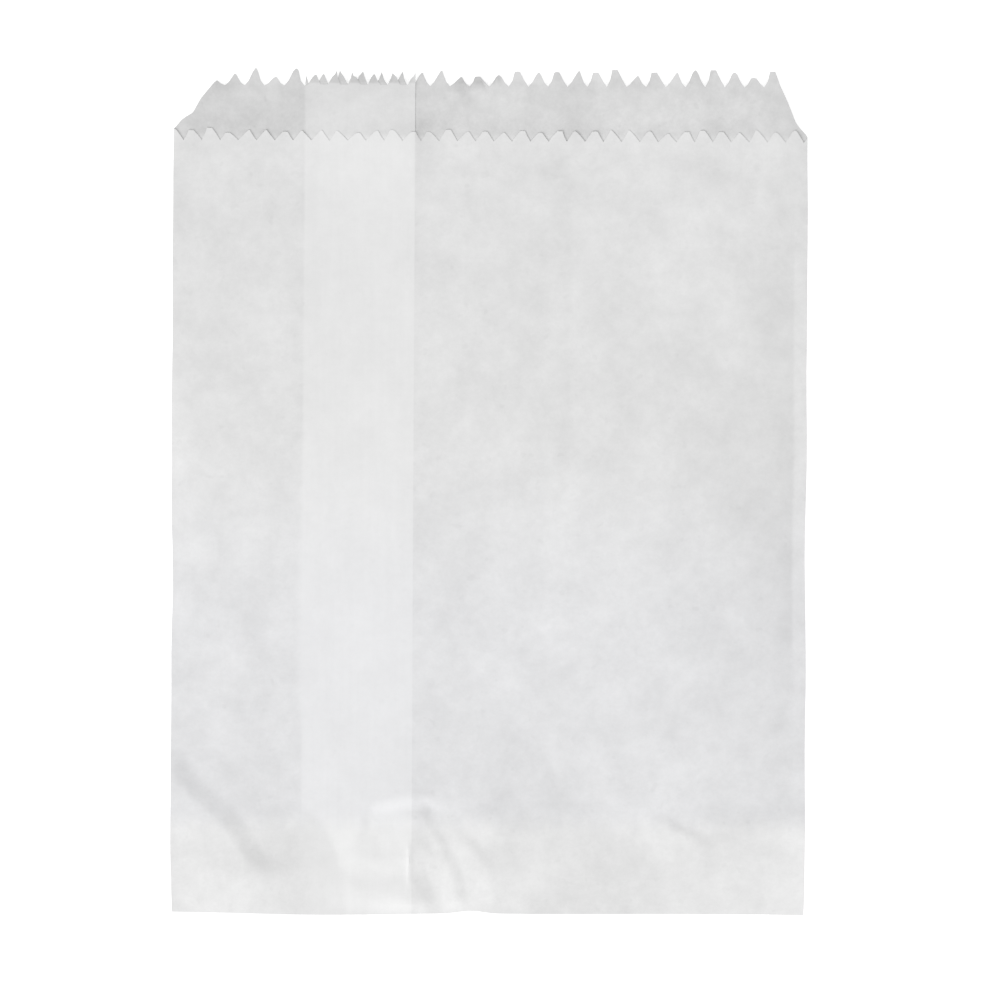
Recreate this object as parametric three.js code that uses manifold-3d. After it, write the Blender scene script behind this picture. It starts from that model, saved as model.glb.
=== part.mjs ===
// A flat white paper bag for food, empty, lying on its back with the short front panel up.
// One sheet of paper is folded into a tube, glued down a seam in the back panel, cut by a toothed
// knife that leaves the back panel longer than the front, and closed by a flap folded to the back.
// Millimetres, +X to the right across the bag, +Y towards the mouth, +Z up.
import * as THREE from 'three';
import { mergeVertices } from 'three/addons/utils/BufferGeometryUtils.js';
import Module from 'manifold-3d';

const wasm = await Module();
wasm.setup();

// Driving dimensions
const WIDTH = 140; // from side fold to side fold
const BACK_LENGTH = 186; // bottom fold to the tooth tips of the long back panel
const FRONT_LENGTH = 173.2; // bottom fold to the tooth tips of the short front panel
const FLAP_LENGTH = 20.5; // tube folded under at the bottom, its outer ply
const FLAP_STEP = BACK_LENGTH - FRONT_LENGTH; // the flap's inner ply is shorter by the same step
const PLY = 0.25; // wall of the solid; the paper itself is about 0.06
const FOLD_GAP = 0.12; // air left between the plies at the side folds
const PUFF = 5.4; // how far the front panel stands off the back one at its highest
const PUFF_X = 8; // where across the bag it stands highest
const PUFF_RISE = 105; // length over which it rises from the bottom fold
const MOUTH_SAG = 0.08; // share of the puff lost again towards the mouth
const SEAM_LEFT = -41; // hidden edge of the outer ply, where the double strip starts
const SEAM_RIGHT = -16.7; // free edge of the inner ply, where the double strip ends
const SEAM_SLOPE = 5; // width over which the inner ply climbs onto the outer one
const GLUE_BITE = 0.3; // share of a ply by which glued plies run into each other

// Teeth left by the knife: distance between valleys, depth, the place of one valley, how far
// the tips vary, and how much is missing from a torn or bent tooth, counted from that valley
const FRONT_TEETH = { pitch: 4.03, depth: 2.6, valley: -63.8, uneven: 0.4, missing: {} };
const OUTER_TEETH = {
  pitch: 4.33,
  depth: 3.6,
  valley: -13.4,
  uneven: 0.6,
  missing: { 1: 1.5, 2: 1.4, 10: 1.1, 16: 1.3 },
};
const INNER_TEETH = {
  pitch: 4.4,
  depth: 3.6,
  valley: -41.2,
  uneven: 0.6,
  missing: { '-2': 1.7, '-4': 0.6 },
};

// The long panel is cut slantwise from its outermost teeth down to the side folds
const LIP_LEFT = -60.7;
const LIP_RIGHT = 63.8;
const SLANT_FOOT = 2; // height above the front panel's valleys where the slants begin
const SLANT_KNEE = { x: -65.5, rise: 4.4 }; // the left slant is steeper above its knee

// How finely the paper is divided
const COLUMNS = 28;
const ROWS = 34;
const FLAP_ROWS = 8;
const STEP_WIDTH = 0.02; // over which a step between plies rises
const OVER = 12; // how far the cutters reach past the paper

const PAPER_WHITE = 0xe6e6e6;

// 0 below start, 1 above end, smooth between
function ease(value, start, end) {
  return THREE.MathUtils.smoothstep(value, start, end);
}

// Evenly spaced places from start to end
function stations(start, end, steps) {
  return Array.from({ length: steps + 1 }, (_, i) => THREE.MathUtils.lerp(start, end, i / steps));
}

// Soft presses left by folding and packing: a straight line with a width and a depth
const PRESSES = [
  { from: [-70, 32], to: [-44, 7], width: 4.5, depth: -0.5 },
  { from: [-42, 22], to: [-31, 6], width: 4, depth: -0.3 },
  { from: [-29, 18], to: [-14, 25], width: 4, depth: 0.45 },
  { from: [-13, 23], to: [2, 6], width: 4, depth: -0.45 },
];

// Height that the presses add to the front panel, fading out at the folds
function pressed(x, y) {
  const point = new THREE.Vector3(x, y, 0);
  const nearest = new THREE.Vector3();
  let height = 0;
  for (const { from, to, width, depth } of PRESSES) {
    const line = new THREE.Line3(new THREE.Vector3(...from, 0), new THREE.Vector3(...to, 0));
    line.closestPointToPoint(point, true, nearest);
    height += depth * Math.exp(-((point.distanceTo(nearest) / width) ** 2));
  }
  return height * ease(WIDTH / 2 - Math.abs(x), 0, 8) * ease(y, 0, 8);
}

// How far the back panel is carried up by the flap folded under it
function flapLift(y) {
  const outer = 1 - ease(y, FLAP_LENGTH, FLAP_LENGTH + 6);
  const inner = 1 - ease(y, FLAP_LENGTH - FLAP_STEP, FLAP_LENGTH - FLAP_STEP + 4);
  return PLY * (outer + inner);
}

// How far the left part of the back panel climbs to lie on the outer ply of the seam
function seamLift(x, y) {
  if (x > SEAM_LEFT) return 0;
  return PLY * ease(x, SEAM_LEFT - SEAM_SLOPE, SEAM_LEFT) * ease(y, FLAP_LENGTH, FLAP_LENGTH + 6);
}

// How far the front panel stands off the back one
function puff(x, y) {
  const side = x > PUFF_X ? WIDTH / 2 - PUFF_X : WIDTH / 2 + PUFF_X;
  const across = Math.max(0, 1 - ((x - PUFF_X) / side) ** 2) ** 1.5;
  const along = ease(y, -6, PUFF_RISE) - MOUTH_SAG * ease(y, PUFF_RISE, FRONT_LENGTH);
  return PUFF * across * along;
}

// Surfaces of the bag, from the table up
const underside = (x, y) => flapLift(y) + seamLift(x, y);
const floor = (x, y) => underside(x, y) + PLY;
const stripTop = (x, y) => flapLift(y) + 2 * PLY;
const roof = (x, y) => stripTop(x, y) + FOLD_GAP + Math.max(0, puff(x, y) + pressed(x, y));
const top = (x, y) => roof(x, y) + PLY;

// A closed slab between two height functions, over a grid of places
function slab(xs, ys, lower, upper) {
  const geometry = new THREE.BoxGeometry(1, 1, 1, xs.length - 1, ys.length - 1, 1);
  const position = geometry.getAttribute('position');
  for (let i = 0; i < position.count; i += 1) {
    const x = xs[Math.round((position.getX(i) + 0.5) * (xs.length - 1))];
    const y = ys[Math.round((position.getY(i) + 0.5) * (ys.length - 1))];
    const height = position.getZ(i) > 0 ? upper(x, y) : lower(x, y);
    position.setXYZ(i, x, y, height);
  }
  return geometry;
}

// A closed prism over an outline, from one height to another
function prism(outline, bottom, height) {
  const shape = new THREE.Shape(outline);
  const geometry = new THREE.ExtrudeGeometry(shape, { depth: height, bevelEnabled: false, steps: 1 });
  return geometry.translate(0, 0, bottom);
}

// Turns a geometry into a solid that can be joined and cut
function solid(geometry) {
  geometry.deleteAttribute('normal');
  geometry.deleteAttribute('uv');
  const merged = mergeVertices(geometry, 1e-5);
  const vertProperties = new Float32Array(merged.getAttribute('position').array);
  const triVerts = new Uint32Array(merged.index.array);
  return new wasm.Manifold(new wasm.Mesh({ numProp: 3, vertProperties, triVerts }));
}

// A steady spread of values from -1 to 1, the same on every run
function spread(index, seed) {
  const wave = Math.sin(index * 12.9898 + seed * 78.233) * 43758.5453;
  return 2 * (wave - Math.floor(wave)) - 1;
}

// The knife's line from one side to the other: a valley, then a tip, each a little uneven
function teeth({ pitch, depth, valley, uneven, missing }, start, end, tipLine, seed) {
  const points = [];
  const first = Math.ceil((start - valley) / pitch);
  const last = Math.floor((end - valley) / pitch);
  for (let i = first; i <= last; i += 1) {
    const x = valley + i * pitch;
    const sway = 0.12 * pitch * spread(i, seed);
    const worn = (missing[i] ?? 0) + uneven * (0.5 + 0.5 * spread(i, seed + 1));
    points.push(new THREE.Vector2(x, tipLine - depth));
    points.push(new THREE.Vector2(x + pitch / 2 + sway, tipLine - worn));
  }
  points.pop();
  return points;
}

// What the knife takes off beyond a line of teeth
function beyond(line, farEdge) {
  const left = line[0].x;
  const right = line[line.length - 1].x;
  return [...line, new THREE.Vector2(right, farEdge), new THREE.Vector2(left, farEdge)];
}

const side = WIDTH / 2;
const past = side + OVER;
const far = BACK_LENGTH + OVER;
const ys = stations(0, far, ROWS);

// Columns across the bag, with two close together where the outer ply's edge makes a step
const leftColumns = Math.round((COLUMNS * (SEAM_LEFT + side)) / WIDTH);
const xs = [
  ...stations(-side, SEAM_LEFT, leftColumns),
  ...stations(SEAM_LEFT + STEP_WIDTH, side, COLUMNS - leftColumns),
];

// Moves the ends of a row of places inwards by one ply
function inset(places) {
  const inner = [...places];
  inner[0] += PLY;
  inner[inner.length - 1] -= PLY;
  return inner;
}

// The tube, closed at the bottom fold and still uncut at the mouth
function tube() {
  const outside = solid(slab(xs, ys, underside, top));
  const hollowYs = [...ys.slice(0, -1), far + OVER];
  hollowYs[0] += PLY;
  const inside = solid(slab(inset(xs), hollowYs, floor, roof));
  return outside.subtract(inside);
}

// The inner ply of the seam, glued on the outer one, with its own teeth half a tooth off
function seamStrip() {
  const glued = (x, y) => flapLift(y) + (1 - GLUE_BITE) * PLY;
  const strip = solid(slab(stations(SEAM_LEFT, SEAM_RIGHT, 2), ys, glued, stripTop));
  const line = teeth(INNER_TEETH, SEAM_LEFT - OVER, SEAM_RIGHT + OVER, BACK_LENGTH, 3);
  return strip.subtract(solid(prism(beyond(line, far + OVER), -OVER, 3 * OVER)));
}

// The tube's end folded under the back panel, its edge cut by the same knife as the front
function flap() {
  const rows = stations(0, FLAP_LENGTH, FLAP_ROWS);
  const glued = (x, y) => flapLift(y) + GLUE_BITE * PLY;
  const plies = solid(slab([-side, side], rows, () => 0, glued));
  const line = teeth(FRONT_TEETH, -past, past, FLAP_LENGTH, 5);
  return plies.subtract(solid(prism(beyond(line, far), -OVER, 3 * OVER)));
}

// Above the seam, the knife cuts the front panel alone
function frontCut() {
  const line = teeth(FRONT_TEETH, -past, past, FRONT_LENGTH, 1);
  const height = 2 * PLY + 0.5 * FOLD_GAP;
  return solid(prism(beyond(line, far + OVER), height, 3 * OVER));
}

// Further out, it cuts the long panel's teeth and slanted corners
function lipCut() {
  const foot = FRONT_LENGTH - FRONT_TEETH.depth + SLANT_FOOT;
  const line = [
    new THREE.Vector2(-past, foot),
    new THREE.Vector2(-side, foot),
    new THREE.Vector2(SLANT_KNEE.x, foot + SLANT_KNEE.rise),
    ...teeth(INNER_TEETH, LIP_LEFT, SEAM_LEFT, BACK_LENGTH, 3),
    ...teeth(OUTER_TEETH, SEAM_LEFT, LIP_RIGHT, BACK_LENGTH, 2),
    new THREE.Vector2(LIP_RIGHT, BACK_LENGTH - OUTER_TEETH.depth),
    new THREE.Vector2(side, foot),
    new THREE.Vector2(past, foot),
  ];
  return solid(prism(beyond(line, far + OVER), -OVER, 3 * OVER));
}

// The whole bag, one sheet and so one solid
function paperBag() {
  const cutTube = tube().subtract(frontCut()).subtract(lipCut());
  const { vertProperties, triVerts } = cutTube.add(seamStrip()).add(flap()).getMesh();
  const geometry = new THREE.BufferGeometry();
  geometry.setAttribute('position', new THREE.BufferAttribute(vertProperties, 3));
  geometry.setIndex(new THREE.BufferAttribute(triVerts, 1));
  return geometry;
}

const paper = new THREE.MeshStandardMaterial({ color: PAPER_WHITE, roughness: 0.85, metalness: 0 });
const bag = new THREE.Mesh(paperBag(), paper);
bag.name = 'paper_bag';
bag.position.y = -BACK_LENGTH / 2;

const object = new THREE.Group();
object.add(bag);

export default object;
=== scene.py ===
# %% [markdown]
# # A flat paper bag, folded from its blank
#
# A flat food bag is one sheet of thin white paper. A machine folds the sheet into a tube, glues
# it down a seam in the back, cuts it with a toothed knife and glues up the bottom end. This
# lesson makes the bag the same way: a flat grid is the blank, its ends get their teeth, and it
# is then folded with rotations, opened and creased a little, and given its thickness.
#
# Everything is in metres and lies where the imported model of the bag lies: the bag is on its
# back, +X is to the right, +Y runs from the bottom fold to the mouth, and +Z is up.

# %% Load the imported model
import math

import bpy
import numpy as np
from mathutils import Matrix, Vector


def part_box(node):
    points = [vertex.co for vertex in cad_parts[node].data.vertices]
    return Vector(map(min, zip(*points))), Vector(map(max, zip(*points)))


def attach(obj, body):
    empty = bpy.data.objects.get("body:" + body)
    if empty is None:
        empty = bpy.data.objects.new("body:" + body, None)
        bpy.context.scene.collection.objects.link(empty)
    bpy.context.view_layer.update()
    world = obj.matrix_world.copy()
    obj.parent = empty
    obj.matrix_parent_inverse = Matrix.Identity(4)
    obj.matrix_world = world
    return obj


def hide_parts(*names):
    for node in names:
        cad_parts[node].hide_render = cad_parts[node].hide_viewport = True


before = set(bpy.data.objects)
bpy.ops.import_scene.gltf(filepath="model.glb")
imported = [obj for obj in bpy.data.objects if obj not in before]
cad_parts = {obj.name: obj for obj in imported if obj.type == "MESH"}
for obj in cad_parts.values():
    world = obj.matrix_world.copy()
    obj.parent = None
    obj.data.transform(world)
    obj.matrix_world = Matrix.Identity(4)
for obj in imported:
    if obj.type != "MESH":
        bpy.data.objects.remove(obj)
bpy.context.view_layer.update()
bpy.ops.object.select_all(action="DESELECT")

# %% [markdown]
# ## The sizes
#
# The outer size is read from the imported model. The rest are a bag maker's numbers, written in
# millimetres: how far the knife steps back for the front panel, how much of the tube is folded
# under, and how wide the glued seam is. Plies that lie on each other rest a little further apart
# than the paper is thick, so that they never touch.

# %% Driving sizes
MM = 0.001
NODE = "paper_bag"
low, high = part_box(NODE)
BOTTOM = low[1]
HALF_WIDTH = (high[0] - low[0]) / 2
BACK_LENGTH = high[1] - low[1]
LIP_LENGTH = 12.8 * MM
FRONT_LENGTH = BACK_LENGTH - LIP_LENGTH
FLAP_LENGTH = 20.5 * MM
SEAM_LEFT = -41.0 * MM
SEAM_RIGHT = -16.7 * MM
PAPER = 0.05 * MM
PLY_REST = 0.065 * MM
print("bag", round(2 * HALF_WIDTH / MM, 1), "x", round(BACK_LENGTH / MM, 1), "mm")

# %% [markdown]
# ## The camera
#
# The photo was taken from straight above with a long lens, and the bag lies turned by a quarter
# of a degree in it. The camera's place comes from three readings: how many pixels lie between
# the side folds, and where the bag's middle and its bottom fold fall in the picture. The small
# turn goes into the camera's roll, so the bag itself stays square in its frame.

# %% Camera
PICTURE_SIDE = 1000
PIXELS_ACROSS = 634
PIXEL_MIDDLE = 489.0
PIXEL_BOTTOM = 913.5
ROLL = math.radians(0.28)
LENS = 150.0
SENSOR = 36.0
NEAREST = 0.01

pixel = 2 * HALF_WIDTH / PIXELS_ACROSS
aim_x = (PICTURE_SIDE / 2 - PIXEL_MIDDLE) * pixel
aim_y = BOTTOM + (PIXEL_BOTTOM - PICTURE_SIDE / 2) * pixel
height = PICTURE_SIDE * pixel * LENS / SENSOR
bpy.ops.object.camera_add(location=(aim_x, aim_y, height), rotation=(0, 0, ROLL))
camera = bpy.context.object
camera.name = "overhead_camera"
camera.data.lens = LENS
camera.data.sensor_width = SENSOR
camera.data.clip_start = NEAREST
bpy.context.scene.camera = camera
print("camera", round(height, 3), "m above the table,", round(pixel / MM, 4), "mm a pixel")

# %% [markdown]
# ## Light and table
#
# White paper on a white table needs a light that is bright and even, so that the table goes to
# full white, and yet comes low from one side, so that creases show. A large soft lamp far off to
# the lower left gives a quarter of the light, and the white room gives the rest. A sun lamp with
# a wide angle is such a lamp: it is as strong at one end of the bag as at the other. The table
# glows a little, as a lit studio table does. The picture is shown without a film curve, because
# the curve would turn the white paper grey.

# %% Table, soft lamp and room
KEY_TILT = math.radians(65)
KEY_TURN = math.radians(-42)
KEY_ANGLE = math.radians(30)
KEY_SHARE = 0.25
TABLE_SIDE = 6.0
TABLE_ROUGHNESS = 0.9
TABLE_GLOW = 0.34
WHITE = (1.0, 1.0, 1.0, 1.0)

bpy.ops.mesh.primitive_plane_add(size=TABLE_SIDE, location=(0, 0, 0))
table = bpy.context.object
table.name = "pale_table"
table_finish = bpy.data.materials.new("pale_table")
table_finish.use_nodes = True
table_shader = table_finish.node_tree.nodes["Principled BSDF"]
table_shader.inputs["Base Color"].default_value = WHITE
table_shader.inputs["Roughness"].default_value = TABLE_ROUGHNESS
table_shader.inputs["Emission Color"].default_value = WHITE
table_shader.inputs["Emission Strength"].default_value = TABLE_GLOW
table.data.materials.append(table_finish)

bpy.ops.object.light_add(type="SUN", location=(0, 0, 1), rotation=(KEY_TILT, 0, KEY_TURN))
lamp = bpy.context.object
lamp.name = "soft_lamp"
lamp.data.angle = KEY_ANGLE
lamp.data.energy = KEY_SHARE * math.pi / math.cos(KEY_TILT)

world = bpy.data.worlds.new("white_room")
world.use_nodes = True
world.node_tree.nodes["Background"].inputs["Color"].default_value = WHITE
world.node_tree.nodes["Background"].inputs["Strength"].default_value = 1 - KEY_SHARE
bpy.context.scene.world = world
bpy.context.scene.view_settings.view_transform = "Standard"
print("lamp of", round(lamp.data.energy, 2), "W/m2, room of", round(1 - KEY_SHARE, 2))

# %% [markdown]
# ## The blank: its columns
#
# The real blank is a sheet as wide as both panels and the seam together. A grid with a column
# of vertices for each place where something happens is all it takes: seven for each tooth of the
# knife, and a few close together where the sheet will bend. A tooth's columns are its valley,
# two low on its flanks, two high on them, and two at the ends of its tip, which is never a point.
#
# A fold is made of four turns of 45 degrees about four hinge columns, as a fold of real paper
# is a very small round. The hinges' spacing sets how far apart the two panels end up: the outer
# ply of the seam lies three rests below the front panel, and the inner ply two. The places are
# worked out so that the nose of each fold ends exactly at the bag's side.

# %% Places of the columns
TURNS = 4
TURN_ANGLE = math.pi / TURNS
HINGE_REACH = 1 + 2 * math.sin(TURN_ANGLE)
OUTER_DROP = 3 * PLY_REST
INNER_DROP = 2 * PLY_REST
TOOTH_PLACES = (0, 0.19, 0.36, 0.46, 0.54, 0.64, 0.81)
CLEAR = 0.25 * MM
FRONT_KNIFE = {"pitch": 4.03 * MM, "valley": -63.8 * MM}
OUTER_KNIFE = {"pitch": 4.33 * MM, "valley": -13.4 * MM}
INNER_KNIFE = {"pitch": 4.4 * MM, "valley": -41.2 * MM}


def hinges(edge, drop):
    """Places of a fold's four hinges, outwards, so that its nose ends at the edge."""
    step = drop / HINGE_REACH
    return edge - step * math.sin(TURN_ANGLE) + step * np.arange(TURNS)


def beats(start, end, pitch, valley):
    """The columns of all the teeth between start and end."""
    numbers = np.arange(math.floor((start - valley) / pitch), math.ceil((end - valley) / pitch))
    places = valley + pitch * np.add.outer(numbers, TOOTH_PLACES).ravel()
    return places[(places > start) & (places < end)]


right_hinges = hinges(HALF_WIDTH, OUTER_DROP)
left_hinges = -hinges(HALF_WIDTH, INNER_DROP)
right_turn = right_hinges[0] + right_hinges[-1]
left_turn = left_hinges[0] + left_hinges[-1]
columns = np.sort(
    np.concatenate([
        [left_turn - SEAM_RIGHT],
        left_turn - beats(-HALF_WIDTH + CLEAR, SEAM_RIGHT - CLEAR, **INNER_KNIFE),
        left_hinges,
        beats(-HALF_WIDTH + CLEAR, HALF_WIDTH - CLEAR, **FRONT_KNIFE),
        right_hinges,
        right_turn - beats(SEAM_LEFT + CLEAR, HALF_WIDTH - CLEAR, **OUTER_KNIFE),
        [right_turn - SEAM_LEFT],
    ])
)
print(len(columns), "columns over", round((columns[-1] - columns[0]) / MM, 1), "mm of paper")

# %% [markdown]
# ## The blank: its rows
#
# The rows run across the bag, and are measured from the bottom fold. They are close together
# where the bottom fold turns and where the bottom end is creased, far apart along the plain
# middle, and closer again the nearer they come to the teeth. The bottom fold takes the whole
# tube round, three plies deep, so its four hinges stand further apart. Where the rows of the
# flap and of the mouth end is for the knife to say.

# %% Places of the rows
FOLD_DEPTH = 7 * PLY_REST
CREASED_LENGTH = 36.0 * MM
MOUTH_START = 162.0 * MM
FLAP_ROWS, CREASED_ROWS, PLAIN_ROWS, MOUTH_ROWS = 5, 42, 18, 18
GATHER = 1.5

bottom_hinges = -hinges(0.0, FOLD_DEPTH)
bottom_turn = bottom_hinges[0] + bottom_hinges[-1]
flap_end = bottom_turn - FLAP_LENGTH
to_mouth = 1 - np.linspace(1, 0, MOUTH_ROWS + 1) ** GATHER
rows = np.concatenate([
    np.linspace(flap_end, bottom_hinges[-1], FLAP_ROWS + 1)[:-1],
    bottom_hinges[::-1],
    [bottom_hinges[0] + CLEAR],
    np.linspace(bottom_hinges[0], CREASED_LENGTH, CREASED_ROWS + 1)[1:],
    np.linspace(CREASED_LENGTH, MOUTH_START, PLAIN_ROWS + 1)[1:],
    MOUTH_START + (BACK_LENGTH - MOUTH_START) * to_mouth[1:],
])
print(len(rows), "rows over", round((rows[-1] - rows[0]) / MM, 1), "mm of paper")

# %% [markdown]
# ## The flat sheet
#
# The blank starts as a grid of the right size in the right place. Its columns and rows are then
# drawn to the places worked out above. Two small helpers read and write all of a mesh's points
# at once, which is far quicker than one at a time. The number of each vertex's column and row
# is kept: a fold doesn't change it, so it says at any time which ply a vertex belongs to.

# %% The grid
width, length = columns[-1] - columns[0], rows[-1] - rows[0]
bpy.ops.mesh.primitive_grid_add(
    x_subdivisions=len(columns) - 1,
    y_subdivisions=len(rows) - 1,
    size=1.0,
    location=((columns[0] + columns[-1]) / 2, BOTTOM + (rows[0] + rows[-1]) / 2, 0),
)
bag = bpy.context.object
bag.name = "folded_paper_bag"
bag.scale = (width, length, 1)
bpy.ops.object.transform_apply(location=True, rotation=True, scale=True)


def points():
    """All of the bag's vertices as an array."""
    flat = np.empty(3 * len(bag.data.vertices))
    bag.data.vertices.foreach_get("co", flat)
    return flat.reshape(-1, 3)


def move_to(where):
    """Puts all of the bag's vertices in new places."""
    bag.data.vertices.foreach_set("co", where.ravel())
    bag.data.update()


spots = points()
column = np.rint((spots[:, 0] - columns[0]) / width * (len(columns) - 1)).astype(int)
row = np.rint((spots[:, 1] - BOTTOM - rows[0]) / length * (len(rows) - 1)).astype(int)
print("blank of", len(spots), "vertices")

# %% [markdown]
# ## The knife
#
# One stroke of a toothed knife cuts the mouth of a bag and the bottom end of the next one. The
# knife steps back where it cuts the front panel, so that the bag opens easily, and slants down
# to the folds at both sides of the long lip. Its teeth are worn, and paper tears, so each tooth
# comes out a little different: its wear and its lean are worked out from its number, which gives
# the same bag on every run.
#
# A tooth is a straight zigzag whose foot and tip are cut off: the higher the foot, the wider the
# valley beside it, and the more blunt, the wider the tip. Tips are blunt by different shares.
# In the seam both plies were torn by the knife, and each column of theirs ends a little ragged.
# The front panel has no seam, and its teeth have no foot. The counts of torn teeth start at the
# knife's valley.

# %% The three cuts
FRONT_TIP = FRONT_LENGTH
TIP_OVER = 0.4 * MM
BACK_TIP = BACK_LENGTH + TIP_OVER
FRONT_CUT = {
    **FRONT_KNIFE, "tip": FRONT_TIP, "depth": 2.7 * MM, "foot": 0.0, "blunt": 0.3,
    "uneven": 0.8 * MM, "seed": 1, "torn": {1: 1.0 * MM, 8: 0.5 * MM},
}
OUTER_CUT = {
    **OUTER_KNIFE, "tip": BACK_TIP, "depth": 3.8 * MM, "foot": 0.15, "blunt": 0.4,
    "uneven": 0.8 * MM, "seed": 2,
    "torn": {1: 1.3 * MM, 2: 1.4 * MM, 3: 0.6 * MM, 10: 1.1 * MM, 15: 0.4 * MM, 16: 1.3 * MM},
}
INNER_CUT = {
    **INNER_KNIFE, "tip": BACK_TIP, "depth": 3.8 * MM, "foot": 0.2, "blunt": 0.25,
    "uneven": 0.8 * MM, "seed": 3,
    "torn": {-5: 1.8 * MM, -4: 0.6 * MM, -2: 1.7 * MM, 0: 0.4 * MM, 3: 0.5 * MM},
}
SEAM_FOOT = 0.45
SEAM_VALLEY = 0.3 * MM
RAGGED = 1.6 * MM
print("teeth of", round(FRONT_CUT["pitch"] / MM, 2), "and", round(OUTER_CUT["pitch"] / MM, 2), "mm")

# %% [markdown]
# A steady spread of values stands in for chance: the sine of a number is made so large that what
# lies behind its point looks random, and yet is the same on every run. The nudge keeps a column
# that lies in a valley from being counted with the tooth before it.

# %% The line of a row of teeth
SPREAD_STEP, SPREAD_SEED, SPREAD_SIZE = 12.9898, 78.233, 43758.5453
WEAR_SEED, BLUNT_SEED = 1, 5
NUDGE = 1e-6


def spread(number, seed):
    """A steady spread of values from -1 to 1, the same on every run."""
    wave = np.sin(number * SPREAD_STEP + seed * SPREAD_SEED) * SPREAD_SIZE
    return 2 * (wave - np.floor(wave)) - 1


def share_of(number, seed):
    """The same spread, from 0 to 1."""
    return 0.5 + 0.5 * spread(number, seed)


def teeth(x, cut):
    """The knife's line over the places x, each tooth's number, and how far up its side x is."""
    beat = (x - cut["valley"]) / cut["pitch"] + NUDGE
    number = np.floor(beat)
    rise = 1 - np.abs(2 * (beat - number) - 1)
    pointed = 1 - cut["blunt"] * share_of(number, cut["seed"] + BLUNT_SEED)
    in_seam = (x > SEAM_LEFT) & (x < SEAM_RIGHT) & (cut["foot"] > 0)
    foot = np.where(in_seam, SEAM_FOOT, cut["foot"])
    rise = np.clip((rise - foot) / (1 - foot) / pointed, 0, 1)
    worn = cut["uneven"] * share_of(number, cut["seed"] + WEAR_SEED)
    for tooth, loss in cut["torn"].items():
        worn = worn + np.where(number == tooth, loss, 0)
    torn_off = RAGGED * share_of(np.round(x / MM, 1), cut["seed"])
    worn = worn + np.where(in_seam, torn_off, 0)
    valley = cut["tip"] - cut["depth"] + np.where(in_seam, SEAM_VALLEY, 0)
    return valley + (cut["depth"] - worn) * rise, number, rise


# %% [markdown]
# The slanted corners of the lip are short runs of straight cuts. The left one is rounder, and
# the right one steeper, because the knife met the two folds differently.

# %% The whole line of the knife
LEFT_SLANT = ((-70.0, 173.0), (-68.1, 175.2), (-65.9, 176.5), (-64.2, 179.6), (-61.0, 183.4))
RIGHT_SLANT = ((63.4, 183.8), (65.7, 178.9), (67.5, 174.6), (70.0, 171.9))

is_left = columns < left_hinges[-1]
is_right = columns > right_hinges[-1]
is_front = (columns >= left_hinges[0]) & (columns <= right_hinges[0])
seen_x = np.where(is_left, left_turn - columns, np.where(is_right, right_turn - columns, columns))
mouth_line, tooth_number, tooth_rise = teeth(seen_x, FRONT_CUT)
for side, cut in ((is_left, INNER_CUT), (is_right, OUTER_CUT)):
    line, number, rise = teeth(seen_x[side], cut)
    mouth_line[side], tooth_number[side], tooth_rise[side] = line, number, rise

left_x, left_y = (MM * np.array(side) for side in zip(*LEFT_SLANT))
right_x, right_y = (MM * np.array(side) for side in zip(*RIGHT_SLANT))
slanted = is_left & (seen_x < left_x[-1] + CLEAR)
mouth_line[slanted] = np.interp(seen_x[slanted], left_x, left_y)
tooth_rise[slanted] = 0
slanted = is_right & (seen_x > right_x[0] - CLEAR)
mouth_line[slanted] = np.interp(seen_x[slanted], right_x, right_y)
tooth_rise[slanted] = 0
noses = ~(is_left | is_right | is_front)
mouth_line[noses] = np.interp(columns[noses], columns[~noses], mouth_line[~noses])
tooth_rise[noses] = 0
print("mouth from", np.round(mouth_line.min() / MM, 1), "to", np.round(mouth_line.max() / MM, 1))

# %% [markdown]
# The other end of the tube was cut by the same stroke, so it is the same line again, a tube's
# length further down: where the mouth has a tip, the flap has a valley. All rows between the
# last hinge and each line are now drawn along, and the tips lean to one side or the other.

# %% Cut both ends
LEAN = 0.12
LEAN_SEED = 7
LEAN_BOW = 2
LEAN_DEPTH = 6

tube_length = FRONT_TIP - FRONT_CUT["depth"] - flap_end
flap_line = mouth_line - tube_length

s, v = columns[column], rows[row]
mouth_share = np.clip((v - MOUTH_START) / (BACK_LENGTH - MOUTH_START), 0, 1)
flap_share = np.clip((v - bottom_hinges[-1]) / (flap_end - bottom_hinges[-1]), 0, 1)
v = np.where(mouth_share > 0, MOUTH_START + mouth_share * (mouth_line[column] - MOUTH_START), v)
last = bottom_hinges[-1]
v = np.where(flap_share > 0, last + flap_share * (flap_line[column] - last), v)
lean = LEAN * FRONT_KNIFE["pitch"] * spread(tooth_number, LEAN_SEED) * tooth_rise**LEAN_BOW
lean = lean * np.clip((HALF_WIDTH - np.abs(seen_x)) / FRONT_KNIFE["pitch"], 0, 1)
s = s + lean[column] * mouth_share**LEAN_DEPTH
spots = np.column_stack([s, BOTTOM + v, np.zeros(len(s))])
move_to(spots)
print("cut the blank,", round((spots[:, 1].max() - spots[:, 1].min()) / MM, 1), "mm long")

# %% [markdown]
# ## Folding the tube
#
# A fold selects all the vertices beyond a hinge and turns them by 45 degrees about it, four
# times over. The turn's centre is given in code, because without a window there is no cursor
# to turn about. The right panel goes under first and the left one after it, so that the left
# one, the inner ply of the seam, comes to lie between the right one and the front.

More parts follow.
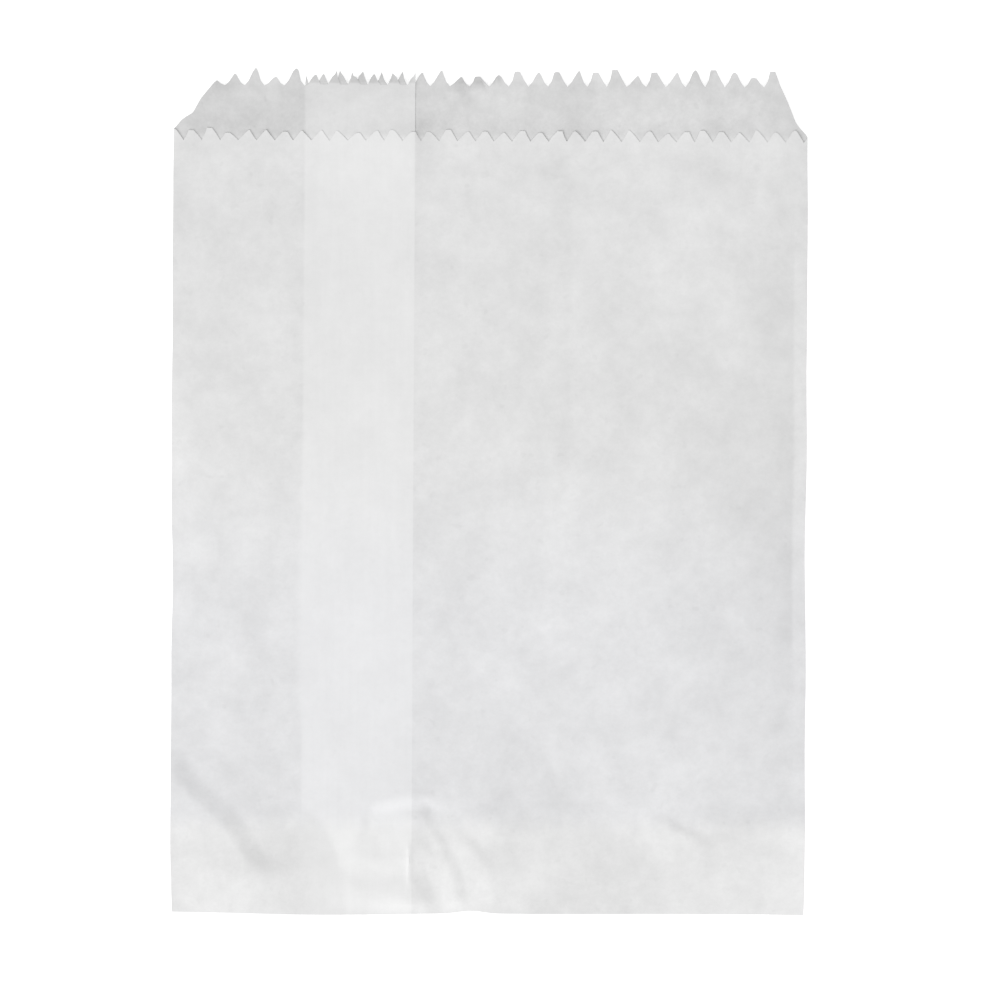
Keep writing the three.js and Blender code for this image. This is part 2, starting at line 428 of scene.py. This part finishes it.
# %% Fold the sides under
def turn_beyond(chosen, hinge, axis, angle):
    """Turns the chosen vertices about a line through the hinge's vertices."""
    bag.data.polygons.foreach_set("select", np.zeros(len(bag.data.polygons), bool))
    bag.data.edges.foreach_set("select", np.zeros(len(bag.data.edges), bool))
    bag.data.vertices.foreach_set("select", chosen)
    centre = points()[hinge].mean(axis=0)
    bpy.ops.object.mode_set(mode="EDIT")
    bpy.ops.transform.rotate(value=angle, orient_axis=axis, center_override=centre)
    bpy.ops.object.mode_set(mode="OBJECT")


bpy.context.tool_settings.mesh_select_mode = (True, False, False)
for hinge in right_hinges:
    number = int(np.argmin(np.abs(columns - hinge)))
    turn_beyond(column > number, column == number, "Y", -TURN_ANGLE)
for hinge in left_hinges:
    number = int(np.argmin(np.abs(columns - hinge)))
    turn_beyond(column < number, column == number, "Y", TURN_ANGLE)
print("side folds at", np.round((points()[:, 0].min() / MM, points()[:, 0].max() / MM), 2), "mm")

# %% [markdown]
# ## Folding the bottom
#
# Before the bottom goes under, each vertex's share of its side fold is kept: 0 on the front
# panel, 1 on a back panel, and something between in the nose of a fold. The bottom fold then
# turns all plies of the tube together, so the front ply ends up lowest, as on the real bag,
# where this longer ply carries the glue.

# %% Fold the bottom under
on_left = columns[column] < 0
under = np.clip(-points()[:, 2] / np.where(on_left, INNER_DROP, OUTER_DROP), 0, 1)
for hinge in bottom_hinges:
    number = int(np.argmin(np.abs(rows - hinge)))
    turn_beyond(row < number, (row == number) & (under == 0), "X", -TURN_ANGLE)
spots = points()
print("bottom folded, flap at", np.round(spots[:, 2].min() / MM, 2), "mm")

# %% [markdown]
# ## Letting the plies down
#
# The folds leave each ply at its full height, as if the flap ran on for ever. Where the back
# plies of the flap end, the bag comes down by three rests, and by one more where the front ply
# ends, which is longer by the lip's length. Left of the seam, where the outer ply ends, the inner
# ply comes down by one rest too. The front panel lies on top of it all. Heights are functions of
# the place on the bag, so all plies get the same ones and stay apart.
#
# The lip has nothing on it. It lifts a little off the table, and more in one low wave right of
# the middle.

# %% Heights of the plies
BASE = PAPER / 2 + FOLD_DEPTH
BACK_RESTS = 3
FLAP_INNER_END = FLAP_LENGTH - LIP_LENGTH
DOWN_INNER = 10.0 * MM
DOWN_OUTER = 9.0 * MM
SEAM_SLOPE = 5.0 * MM
LIP_RISE = 0.4 * MM
LIP_CREST = 181.0 * MM
LIP_WAVE, WAVE_X, WAVE_WIDTH = 0.45 * MM, 29.0 * MM, 16.0 * MM


def ease(value, start, end):
    """0 below start, 1 above end, and a smooth S between them."""
    share = np.clip((value - start) / (end - start), 0, 1)
    return share * share * (3 - 2 * share)


def swell(value, middle, width):
    """A smooth bell of height 1."""
    return np.exp(-(((value - middle) / width) ** 2))


x, v = spots[:, 0], spots[:, 1] - BOTTOM
past_inner = ease(v, FLAP_INNER_END, FLAP_INNER_END + DOWN_INNER)
past_outer = ease(v, FLAP_LENGTH, FLAP_LENGTH + DOWN_OUTER)
outer_height = BASE - OUTER_DROP - PLY_REST * (BACK_RESTS * past_inner + past_outer)
front_height = outer_height + OUTER_DROP
lip_rise = LIP_RISE + LIP_WAVE * swell(x, WAVE_X, WAVE_WIDTH)
outer_height = outer_height + lip_rise * ease(v, FRONT_LENGTH, LIP_CREST)
beside_seam = past_inner * (1 - ease(x, SEAM_LEFT - SEAM_SLOPE, SEAM_LEFT))
inner_height = outer_height + PLY_REST * (1 - beside_seam)
back_height = np.where(on_left, inner_height, outer_height)
print("front panel at", np.round(front_height.min() / MM, 2), "mm and more above the table")

# %% [markdown]
# ## The air in the bag
#
# An empty bag never lies quite flat: the front panel bows up a little between the side folds.
# It is almost flat at the bottom fold, highest halfway along, and sinks again at the mouth,
# where nothing holds the two edges apart. There it clings to the stiff seam, and gapes most a
# little right of the middle. A strip along the right fold stays pressed flat.

# %% The gap between the mouth's edges
MOUTH_GAP = 0.09 * MM
GAP_BOW = 4
MOUTH_GAPE = 0.09 * MM
GAPE_X, GAPE_WIDTH = 16.0 * MM, 9.0 * MM
CLING = 0.9
CLING_ON = 0.8
CLING_START = 4.0 * MM
SEAM_STEP = 1.0 * MM
SETTLE = 1.95 * PLY_REST
SETTLE_SIDE = 6.0 * MM


def mouth_gap(x):
    """How far the mouth's two edges are apart, less what the front panel settles there."""
    gap = MOUTH_GAP * np.clip(1 - (x / HALF_WIDTH) ** GAP_BOW, 0, 1)
    clinging = ease(x, SEAM_LEFT, SEAM_LEFT + CLING_START)
    clinging = clinging * (1 - (1 - CLING_ON) * ease(x, SEAM_RIGHT, SEAM_RIGHT + CLING_START))
    on_seam = ease(x, SEAM_LEFT - SEAM_SLOPE, SEAM_LEFT)
    on_seam = on_seam * (1 - ease(x, SEAM_RIGHT, SEAM_RIGHT + SEAM_STEP))
    settled = (SETTLE - PLY_REST * on_seam) * ease(HALF_WIDTH - np.abs(x), 0, SETTLE_SIDE)
    return gap * (1 - CLING * clinging) + MOUTH_GAPE * swell(x, GAPE_X, GAPE_WIDTH) - settled


# %% The puffed front panel
PUFF = 3.0 * MM
PUFF_X = 8.0 * MM
PUFF_START, PUFF_RISE = -6.0 * MM, 95.0 * MM
PUFF_FALL = 85.0 * MM
PRESSED_SIDE = 2.6 * MM
STEEP_RIGHT, STEEP_LEFT = 3.0, 2.4


def puff(x, v):
    """How far the front panel stands off the back one."""
    to_right = x > PUFF_X
    reach = np.where(to_right, HALF_WIDTH - PUFF_X - PRESSED_SIDE, HALF_WIDTH + PUFF_X)
    steepness = np.where(to_right, STEEP_RIGHT, STEEP_LEFT)
    across = np.clip(1 - np.abs((x - PUFF_X) / reach) ** steepness, 0, 1)
    closing = ease(v, PUFF_FALL, FRONT_LENGTH)
    blown = PUFF * across * ease(v, PUFF_START, PUFF_RISE)
    return blown * (1 - closing) + mouth_gap(x) * closing


front_height = front_height + puff(x, v)
print("front panel up to", np.round(front_height.max() / MM, 2), "mm")

# %% [markdown]
# ## Creases
#
# The bottom end has been pressed and bent, and the paper keeps the marks. Each is a ridge along
# a crest line of a few points, most with one steep flank and one wide one. From above, the flank
# that turns away from the lamp is a dark band, and the one that turns towards it a bright one. A
# flank is straight where its shape is 1 and round near the crest where it is 2, and it meets the
# panel in a line unless its foot is softened. The points are in millimetres from the bag's middle
# and bottom fold.

# %% The shape of a ridge
LEAST_AWAY = 1e-9


def ridge(x, v, crest, height, left, right, shape=2.0, foot=1.0):
    """Height of a ridge along a crest line, everything in one unit."""
    nearest = np.full(len(x), np.inf)
    turn = np.zeros(len(x))
    for (start_x, start_v), (end_x, end_v) in zip(crest, crest[1:]):
        way_x, way_v = end_x - start_x, end_v - start_v
        share = ((x - start_x) * way_x + (v - start_v) * way_v) / (way_x**2 + way_v**2)
        share = np.clip(share, 0, 1)
        off_x, off_v = x - start_x - share * way_x, v - start_v - share * way_v
        away = np.hypot(off_x, off_v) + LEAST_AWAY
        sine = (way_x * off_v - way_v * off_x) / (away * math.hypot(way_x, way_v))
        turn = np.where(away < nearest, sine, turn)
        nearest = np.minimum(away, nearest)
    flank = right + (left - right) * (0.5 + 0.5 * turn)
    return height * (1 - np.clip(nearest / flank, 0, 1) ** shape) ** foot


def ridges(x, v, table):
    """Sum of all the ridges of a table, in metres."""
    return MM * sum(ridge(x / MM, v / MM, *line) for line in table)


# %% [markdown]
# Nine bends go through the whole bag, folds and flap and all: two at the lower left corner, one
# at the right one, three along the bottom fold, one at the flap's edge on the right, and one at
# each side fold.

# %% Bends through the whole bag
CORNER_BEND = (
    (-68.2, 28.8), (-65.6, 25.8), (-62, 22.2), (-58.4, 19.2), (-56.2, 16.6), (-53.4, 12),
)
CORNER_FOOT = ((-57, 8.4), (-46, 8.4))
SEAM_BEND = ((-47, 8), (-45, -4))
RIGHT_CORNER = ((73, 17), (73, -4))
FOLD_SPRING = ((10, -1), (27, -1))
MIDDLE_BEND = ((0, 10.5), (0.8, 7), (1.2, -4))
LEFT_SPRING = ((-74, 122), (-74, 130))
RIGHT_DROP = ((61, 150), (61, 190))
FLAP_EDGE = ((50, 19.6), (74, 19.6))
BENDS = (
    # crest, height, flank to the left of its way, flank to the right, shape, foot
    (CORNER_BEND, 0.75, 4.2, 17.0, 1.2, 1.3),
    (CORNER_FOOT, 0.22, 3.6, 9.0, 1.2, 1.0),
    (SEAM_BEND, 1.20, 14.6, 23.0, 1.5, 1.0),
    (RIGHT_CORNER, 1.60, 12.0, 12.0, 1.2, 1.3),
    (FOLD_SPRING, 0.45, 5.5, 5.0, 1.2, 1.0),
    (MIDDLE_BEND, 1.25, 40.0, 11.0, 1.0, 1.0),
    (LEFT_SPRING, 1.60, 48.0, 48.0, 1.2, 1.2),
    (RIGHT_DROP, 0.80, 30.0, 9.5, 1.2, 1.0),
    (FLAP_EDGE, 0.36, 5.0, 24.0, 1.2, 1.3),
)
print(len(BENDS), "bends")

# %% [markdown]
# The other ridges are pressed into the front panel alone. Most lie near the bottom: an arc over
# the seam, a pinch and its tail right of it, and small dents. Long low ones run along the panel.

# %% Ridges in the front panel
ARC = ((-27.6, 21.8), (-26, 23.6), (-22.7, 24.9), (-17.9, 25.5), (-12.6, 25.7))
PINCH = ((-14.2, 21.3), (-12.6, 17.8), (-11, 15.6))
PINCH_TAIL = ((-6, 16), (-2.5, 13), (-0.8, 10))
PINCH_SIDE = ((1, 20), (3.4, 16.5), (4, 12.5))
SHELF = ((-27, 11.6), (-17.5, 12))
GLUE_LINE = ((-17.3, 14.8), (-17.3, 7.2))
SEAM_DENT = ((-30, 6), (-26, 4.5), (-20, 3.5))
WEDGE = ((-16, 7.5), (-14, 1))
FLAP_DENT = ((-14.5, 14.6), (-9.5, 10.8))
FIRST_DENT = ((-8.4, 10.6), (-7.3, 7.5), (-6.7, 4.5), (-6.2, 1.5))
NICK = ((40.6, 19.4), (45.2, 17.2))
NICK_TAIL = ((40, 19), (40.2, 10))
SIDE_BEND = ((54.5, 138), (54.5, 60), (53, 45))
STREAK = ((47, 168), (62, 130))
LOW_STREAK = ((45, 102), (64, 74))
LEFT_BEND = ((-62, 105), (-62, 65))
LONG_BEND = ((8, 158), (8, 105))
PRESSED = (
    # crest, height, flank to the left of its way, flank to the right, shape, foot
    (ARC, 0.70, 20.0, 2.4, 1.0, 1.0),
    (PINCH, 0.35, 1.9, 7.0, 1.2, 1.0),
    (PINCH_TAIL, 0.22, 2.2, 6.0, 1.2, 1.0),
    (PINCH_SIDE, 0.40, 24.0, 5.0, 1.2, 1.0),
    (SHELF, 0.40, 7.0, 4.2, 1.2, 1.0),
    (GLUE_LINE, 0.20, 0.6, 0.5, 1.0, 1.0),
    (SEAM_DENT, 0.35, 5.0, 6.0, 1.2, 1.0),
    (WEDGE, 0.42, 3.2, 11.0, 1.0, 1.0),
    (FLAP_DENT, 0.50, 22.0, 6.0, 1.0, 1.0),
    (FIRST_DENT, 0.36, 2.2, 5.5, 1.0, 1.0),
    (NICK, 0.33, 1.1, 9.0, 1.0, 1.0),
    (NICK_TAIL, 0.08, 2.5, 5.0, 1.2, 1.0),
    (SIDE_BEND, 0.85, 12.5, 42.0, 2.0, 1.0),
    (STREAK, 0.25, 6.0, 12.0, 1.5, 1.0),
    (LOW_STREAK, 0.22, 5.0, 12.0, 1.5, 1.0),
    (LEFT_BEND, 0.30, 16.0, 8.0, 2.0, 1.0),
    (LONG_BEND, 0.42, 10.0, 22.0, 2.0, 1.0),
)
print(len(PRESSED), "ridges")

# %% [markdown]
# The pressed ridges fade out before they reach a fold or the teeth. Near the mouth the glued
# seam, which is stiffer than the paper beside it, stands up from the table through all plies. It
# is highest at its free edge, and the paper falls from there in a bow.

# %% Press and bend the bag
SIDE_FADE = 2.0 * MM
FOLD_FADE = 3.0 * MM
MOUTH_FADE = 13.0 * MM
SEAM_STAND = 0.5 * MM
STAND_LENGTH = 20.0 * MM
STAND_FALL = 6.0 * MM
STAND_BOW = 2.2

fading = ease(HALF_WIDTH - np.abs(x), 0, SIDE_FADE) * ease(v, 0, FOLD_FADE)
fading = fading * ease(FRONT_LENGTH - v, FRONT_CUT["depth"], MOUTH_FADE)
front_height = front_height + fading * ridges(x, v, PRESSED)
stand = SEAM_STAND * ease(v, FRONT_LENGTH - STAND_LENGTH, FRONT_LENGTH)
stand = stand * ease(x, SEAM_LEFT, SEAM_RIGHT)
stand = stand * (1 - np.clip((x - SEAM_RIGHT) / STAND_FALL, 0, 1)) ** STAND_BOW
bends = ridges(x, v, BENDS) + stand
print("bends up to", np.round(bends.max() / MM, 2), "mm")

# %% [markdown]
# ## Putting it together
#
# The vertices of the flap keep the heights that the fold gave them. All others lie between the
# height of their back panel and that of the front panel, by their share of the side fold, so
# that the noses of the folds close the sides whatever the heights are.

# %% Set the heights
first_upper = int(np.argmin(np.abs(rows - bottom_hinges[0])))
resting = front_height + under * (back_height - front_height)
spots[:, 2] = np.where(row >= first_upper, resting, spots[:, 2] + BASE) + bends
lowest, highest = spots[:, 2].min() / MM, spots[:, 2].max() / MM
print("heights from", np.round(lowest, 2), "to", np.round(highest, 2))

# %% [markdown]
# ## Curled teeth and uneven edges
#
# The knife bends the teeth as it cuts them. Some curl up and catch the light, others point down
# and look grey, and the two that were bent over on the lip have left a small crease beside them.
# In the seam the torn tips bend down, each half tooth by its own amount.

# %% Curled teeth
CURL = 0.45 * MM
CURL_BOW = 1.5
FRONT_CURL, FRONT_UP = 0.05 * MM, 0.5
BENT_TEETH = (1, 2)
SEAM_CURL = -0.9 * LIP_RISE
SEAM_CURL_MEAN, SEAM_CURL_SPREAD = 0.6, 0.4
BACK_SEED, FRONT_SEED, SEAM_SEED = 11, 12, 13
LIP_CREASE = ((-8, 180.9), (1.2, 183.6))
CREASE_HEIGHT = 0.3 * MM
CREASE_FLANK = 1.2

on_back = under > 0.5
number = tooth_number[column]
tip = np.where(on_back, v - BACK_TIP + OUTER_CUT["depth"], v - FRONT_TIP + FRONT_CUT["depth"])
tip = np.clip(tip / np.where(on_back, OUTER_CUT["depth"], FRONT_CUT["depth"]), 0, 1)
tip = np.where(row >= first_upper, tip, 0)
front_curl = FRONT_CURL * (FRONT_UP + spread(number, FRONT_SEED))
curl = np.where(on_back, CURL * spread(number, BACK_SEED), front_curl)
curl = np.where(on_back & ~on_left & np.isin(number, BENT_TEETH), -CURL, curl)
half_pitch = np.floor(2 * x / OUTER_CUT["pitch"])
seam_curl = SEAM_CURL * (SEAM_CURL_MEAN + SEAM_CURL_SPREAD * spread(half_pitch, SEAM_SEED))
curl = np.where(on_back & (x > SEAM_LEFT) & (x < SEAM_RIGHT), seam_curl, curl)
lip_crease = ridge(x / MM, v / MM, LIP_CREASE, 1.0, CREASE_FLANK, CREASE_FLANK)
lip_crease = np.where(on_back & (row >= first_upper), CREASE_HEIGHT * lip_crease, 0)
spots[:, 2] += curl * tip**CURL_BOW + lip_crease
spots[:, 2] = np.maximum(spots[:, 2], PAPER / 2)
print("curls up to", np.round(np.abs(curl).max() / MM, 2), "mm")

# %% [markdown]
# The folds aren't ruled lines. The sides sway by a tenth of a millimetre each way, have a shallow
# dent halfway up, and draw in at the lower corners. The bottom fold bellies out a little below
# the seam, and has a small notch beside it.

# %% Sway of the sides and of the bottom fold
SWAY = 0.05 * MM
SWAY_BEATS = ((7.3, 0.4), (4.1, 1.3))
SWAY_START = 0.4 * HALF_WIDTH
DENT, DENT_V, DENT_APART, DENT_WIDTH = 0.3 * MM, 75 * MM, 5 * MM, 9 * MM
CORNER_IN, CORNER_LENGTH = 0.3 * MM, 22 * MM
NOTCH, NOTCH_X, NOTCH_WIDTH = 0.6 * MM, -3.5 * MM, 4.0 * MM
BELLY, BELLY_X, BELLY_WIDTH = 0.5 * MM, -33 * MM, 20 * MM
EDGE_LENGTH = 6 * MM

side_sign = np.sign(x)
sway = SWAY * sum(np.sin(v / MM / beat + phase * side_sign) for beat, phase in SWAY_BEATS)
sway = sway - DENT * swell(v, DENT_V + DENT_APART * side_sign, DENT_WIDTH)
sway = sway - CORNER_IN * (1 - ease(v, 0, CORNER_LENGTH))
spots[:, 0] += sway * x / HALF_WIDTH * ease(np.abs(x), SWAY_START, HALF_WIDTH)
bottom_edge = NOTCH * swell(x, NOTCH_X, NOTCH_WIDTH) - BELLY * swell(x, BELLY_X, BELLY_WIDTH)
spots[:, 1] += bottom_edge * (1 - ease(v, 0, EDGE_LENGTH))
move_to(spots)
print("bottom fold sways by", np.round(np.ptp(bottom_edge) / MM, 2), "mm")

# %% [markdown]
# ## Thickness
#
# Solidify gives the sheet its two faces and closes its edges. The sheet lies in the middle, so
# the plies keep their places. Smooth shading keeps the bends soft and the cut edges sharp.
# A mark on each vertex says whether it belongs to the front or to a back panel, for the finish.

# %% Give the paper its thickness
SMOOTH_ANGLE = math.radians(40)
panel = bag.data.attributes.new("back_panel", "FLOAT", "POINT")
panel.data.foreach_set("value", np.where(row >= first_upper, under, 1 - under))
thicken = bag.modifiers.new("thickness", "SOLIDIFY")
thicken.thickness = PAPER
thicken.offset = 0
bpy.ops.object.modifier_apply(modifier="thickness")
bpy.ops.object.shade_smooth_by_angle(angle=SMOOTH_ANGLE)
print(len(bag.data.polygons), "faces,", len(bag.data.vertices), "vertices")

# %% [markdown]
# ## Shader maths as expressions
#
# The finish is written as sums and products. A small class wraps a shader socket, so that an
# expression such as 1 - mask adds the Math nodes it needs, and a second one holds the material
# and adds any other node.

# %% A value on the surface
class Value:
    """A number that changes over the surface."""

    def __init__(self, finish, socket):
        self.finish, self.socket = finish, socket

    def math(self, operation, *numbers):
        """A Math node over these numbers and values."""
        sockets = dict(enumerate(numbers))
        node = self.finish.node("ShaderNodeMath", {"operation": operation}, sockets)
        return Value(self.finish, node.outputs[0])

    def __add__(self, other):
        return self.math("ADD", self, other)

    def __radd__(self, other):
        return self.math("ADD", other, self)

    def __sub__(self, other):
        return self.math("SUBTRACT", self, other)

    def __rsub__(self, other):
        return self.math("SUBTRACT", other, self)

    def __mul__(self, other):
        return self.math("MULTIPLY", self, other)

    def __rmul__(self, other):
        return self.math("MULTIPLY", other, self)


# %% A finish
NOISE_MIDDLE = 0.5


class Finish:
    """A material, and the one way to add nodes to it."""

    def __init__(self, name):
        self.material = bpy.data.materials.new(name)
        self.material.use_nodes = True
        self.tree = self.material.node_tree
        self.shader = self.tree.nodes["Principled BSDF"]

    def node(self, kind, settings, sockets):
        """Adds a node, makes its settings, then fills its sockets with numbers or links."""
        made = self.tree.nodes.new(kind)
        for name, setting in settings.items():
            setattr(made, name, setting)
        for name, value in sockets.items():
            self.feed(made.inputs[name], value)
        return made

    def feed(self, socket, value):
        """Links a value or a socket, or sets a constant."""
        if isinstance(value, Value):
            value = value.socket
        if isinstance(value, bpy.types.NodeSocket):
            self.tree.links.new(value, socket)
        else:
            socket.default_value = value

    def step(self, value, start, end):
        """A smooth step of a value from 0 at start to 1 at end."""
        settings = {"interpolation_type": "SMOOTHSTEP"}
        sockets = {"Value": value, "From Min": start, "From Max": end}
        return Value(self, self.node("ShaderNodeMapRange", settings, sockets).outputs["Result"])

    def noise(self, vector, scale, detail, roughness=0.5):
        """Noise of a scale in waves per unit, centred on 0 and about 1 from end to end."""
        sockets = {"Vector": vector, "Scale": scale, "Detail": detail, "Roughness": roughness}
        made = self.node("ShaderNodeTexNoise", {}, sockets)
        return Value(self, made.outputs["Fac"]) - NOISE_MIDDLE


# %% [markdown]
# ## The paper
#
# Bag paper is thin, and light gets through it. Where more plies lie on each other less light is
# lost below, so the stack looks whiter: the single ply of the lip is the greyest, the front
# over the back is lighter, and the three plies of the seam are lighter still. The seam hidden
# in the back shows through the front as a band. The finish gets there by adding up what each
# covering ply gives, in the bag's own coordinates.

# %% Places in millimetres
paper = Finish("white_bag_paper")
place = paper.node("ShaderNodeTexCoord", {}, {}).outputs["Object"]
in_mm = paper.node("ShaderNodeVectorMath", {"operation": "SCALE"}, {0: place, "Scale": 1 / MM})
in_mm = in_mm.outputs["Vector"]
axes = paper.node("ShaderNodeSeparateXYZ", {}, {"Vector": in_mm})
paper_x = Value(paper, axes.outputs["X"])
paper_y = Value(paper, axes.outputs["Y"]) - BOTTOM / MM
back = paper.node("ShaderNodeAttribute", {"attribute_name": "back_panel"}, {})
back = Value(paper, back.outputs["Fac"])
print("finish", paper.material.name)

# %% [markdown]
# Each ply that covers something is a mask from 0 to 1, made of smooth steps along and across the
# bag. A step is as wide as the edge looks soft: the seam's right edge is sharp, and the toothed
# end of the flap is blurred by the paper over it. On the flap, glue has soaked the paper beside
# the seam, so its left edge comes in slowly. A little further up, glue has run past that edge.

# %% Where the covering plies are
LIP_FROM, LIP_TO = -1.5, 0.5
FLAP_SOFT, FLAP_ZIGZAG = 3, 0.6
SEAM_FROM, SEAM_TO = -0.5, 0.4
SOAKED_FROM, SOAKED_TO = -2, 7.0
SPILT = 1.7
SPILT_FROM, SPILT_FULL, SPILT_TILL, SPILT_TO = 38, 54, 66, 110
SEAM_SHARP = 0.15
seam_start, seam_end, flap_edge = SEAM_LEFT / MM, SEAM_RIGHT / MM, FLAP_LENGTH / MM
front_edge = (FRONT_LENGTH - 0.5 * FRONT_CUT["depth"]) / MM

on_lip = back * paper.step(paper_y, front_edge + LIP_FROM, front_edge + LIP_TO)
zigzag = paper_x.math("PINGPONG", paper_x, OUTER_KNIFE["pitch"] / MM / 2)
zigzag_y = paper_y + FLAP_ZIGZAG * zigzag
flap = 1 - paper.step(zigzag_y, flap_edge - FLAP_SOFT, flap_edge + FLAP_SOFT)
spilt = paper.step(paper_y, SPILT_FROM, SPILT_FULL)
spilt = spilt * (1 - paper.step(paper_y, SPILT_TILL, SPILT_TO))
seam_left = paper.step(paper_x, seam_start + SEAM_FROM - SPILT * spilt, seam_start + SEAM_TO)
soaked_left = paper.step(paper_x, seam_start + SOAKED_FROM, seam_start + SOAKED_TO)
seam = seam_left * (1 - flap) + soaked_left * flap
seam = seam * (1 - paper.step(paper_x, seam_end - SEAM_SHARP, seam_end + SEAM_SHARP))
print("seam shows from", round(seam_start, 1), "to", round(seam_end, 1), "mm")

# %% [markdown]
# The tone starts with that of one ply, and each mask adds its share. Left of the seam the lip is
# a trace darker: that is painted shade. Painted shade also darkens the tips of its teeth where the
# knife tore the seam's plies, and where the teeth right of the seam are bent down.

# %% What the covering plies add
ONE_PLY = 0.664
SECOND_PLY = 0.094
SEAM_PLY = 0.045
FLAP_PLY = 0.030
# painted shade: the lip left of the seam is a trace darker
LEFT_LIP_SHADE = -0.025
# painted shade on the tips of the teeth: the torn ones in the seam and the bent-down ones right of
# it
TORN_TIP_SHADE = -0.05
BENT_TIP_SHADE = -0.06
BENT_FROM, BENT_TO, BENT_SOFT = -9.6, 0.6, 0.5
TIPS_FROM, TIPS_TO = 0.3, 0.9
lip_valley = (BACK_TIP - OUTER_CUT["depth"]) / MM

in_teeth = paper.step(paper_y, lip_valley + TIPS_FROM, lip_valley + TIPS_TO)
bent = paper.step(paper_x, BENT_FROM, BENT_FROM + BENT_SOFT)
bent = bent * (1 - paper.step(paper_x, BENT_TO, BENT_TO + BENT_SOFT))
# the painted shade of the torn and bent tips
torn = in_teeth * (TORN_TIP_SHADE * seam + BENT_TIP_SHADE * bent)
seam = seam * (1 - in_teeth)
tone = ONE_PLY + SECOND_PLY * (1 - on_lip) + SEAM_PLY * seam + FLAP_PLY * flap
# painted shade on the lip left of the seam, and on the torn and bent tips of its teeth
tone = tone + LEFT_LIP_SHADE * on_lip * (1 - seam_left) + torn
print("one ply", ONE_PLY, "and all of them", ONE_PLY + SECOND_PLY + SEAM_PLY + FLAP_PLY)

# %% [markdown]
# Held against the light, paper is cloudy: its fibres lie in flocks of all sizes, from a
# centimetre down to half a millimetre. One noise with many octaves gives the flocks, and the few
# highest places of a second one are small dark specks. In the glued seam the flocks of more plies
# even each other out, and what is left are faint streaks along it. On the single ply of the lip
# the flocks show more.

# %% Flocks, specks and streaks
FLOCKS = 0.27
FLOCK_NOISE = {"scale": 0.09, "detail": 5.0, "roughness": 0.8}
SPECKS = -0.025
SPECK_NOISE = {"scale": 0.45, "detail": 1.0}
SPECK_FROM, SPECK_TO = 0.17, 0.27
STREAKS = 0.03
STREAK_NOISE = {"scale": 0.9, "detail": 2.0}
STREAK_STRETCH = (1, 0.05, 1)
CALM = 0.5
ROUGHER = 0.4

flocks = paper.noise(in_mm, **FLOCK_NOISE)
specks = paper.step(paper.noise(in_mm, **SPECK_NOISE), SPECK_FROM, SPECK_TO)
sockets = {0: in_mm, 1: STREAK_STRETCH}
stretched = paper.node("ShaderNodeVectorMath", {"operation": "MULTIPLY"}, sockets)
streaks = paper.noise(stretched.outputs["Vector"], **STREAK_NOISE)
uneven = (FLOCKS * flocks + SPECKS * specks) * (1 - CALM * seam + ROUGHER * on_lip)
tone = tone + uneven + STREAKS * streaks * seam
print("flocks of", round(1 / FLOCK_NOISE["scale"], 1), "mm and less")

# %% [markdown]
# Below the middle, short of the flap, the paper is a trace bluer. The tint is a colour near white
# that is multiplied by the tone. It goes through vector nodes, because a Math node would turn it
# grey.

# %% Colour
BLUER = (-0.006, -0.004, 0.010)
BLUER_TILL, BLUER_TO = 60, 110

lower = (1 - paper.step(paper_y, BLUER_TILL, BLUER_TO)) * (1 - flap)
sockets = {0: BLUER, 1: lower, 2: WHITE[:3]}
tint = paper.node("ShaderNodeVectorMath", {"operation": "MULTIPLY_ADD"}, sockets)
sockets = {0: tint.outputs["Vector"], "Scale": tone}
colour = paper.node("ShaderNodeVectorMath", {"operation": "SCALE"}, sockets)
paper.feed(paper.shader.inputs["Base Color"], colour.outputs["Vector"])
print("trace of blue up to", BLUER_TO, "mm from the bottom fold")

# %% [markdown]
# The flocks and the finest fibres also stand out a little. They are far too low for the mesh, so
# they are a bump of a twentieth of a millimetre, used at a quarter of its strength. The paper is
# matte, with a faint gloss.

# %% Fine relief and gloss
BUMP = {"Strength": 0.25, "Distance": 0.05 * MM}
GRAIN = 0.4
GRAIN_NOISE = {"scale": 1.6, "detail": 2.0}
ROUGHNESS, FLOCK_ROUGHNESS = 0.72, 0.2
GLOSS = 0.35

grain = paper.noise(in_mm, **GRAIN_NOISE)
bump = paper.node("ShaderNodeBump", {}, {**BUMP, "Height": flocks + GRAIN * grain})
paper.feed(paper.shader.inputs["Normal"], bump.outputs["Normal"])
paper.feed(paper.shader.inputs["Roughness"], ROUGHNESS + FLOCK_ROUGHNESS * flocks)
paper.shader.inputs["Specular IOR Level"].default_value = GLOSS
bag.data.materials.append(paper.material)
print(len(paper.tree.nodes), "nodes")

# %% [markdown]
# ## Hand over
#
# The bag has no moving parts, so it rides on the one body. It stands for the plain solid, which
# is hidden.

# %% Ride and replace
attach(bag, "root")
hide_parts(NODE)
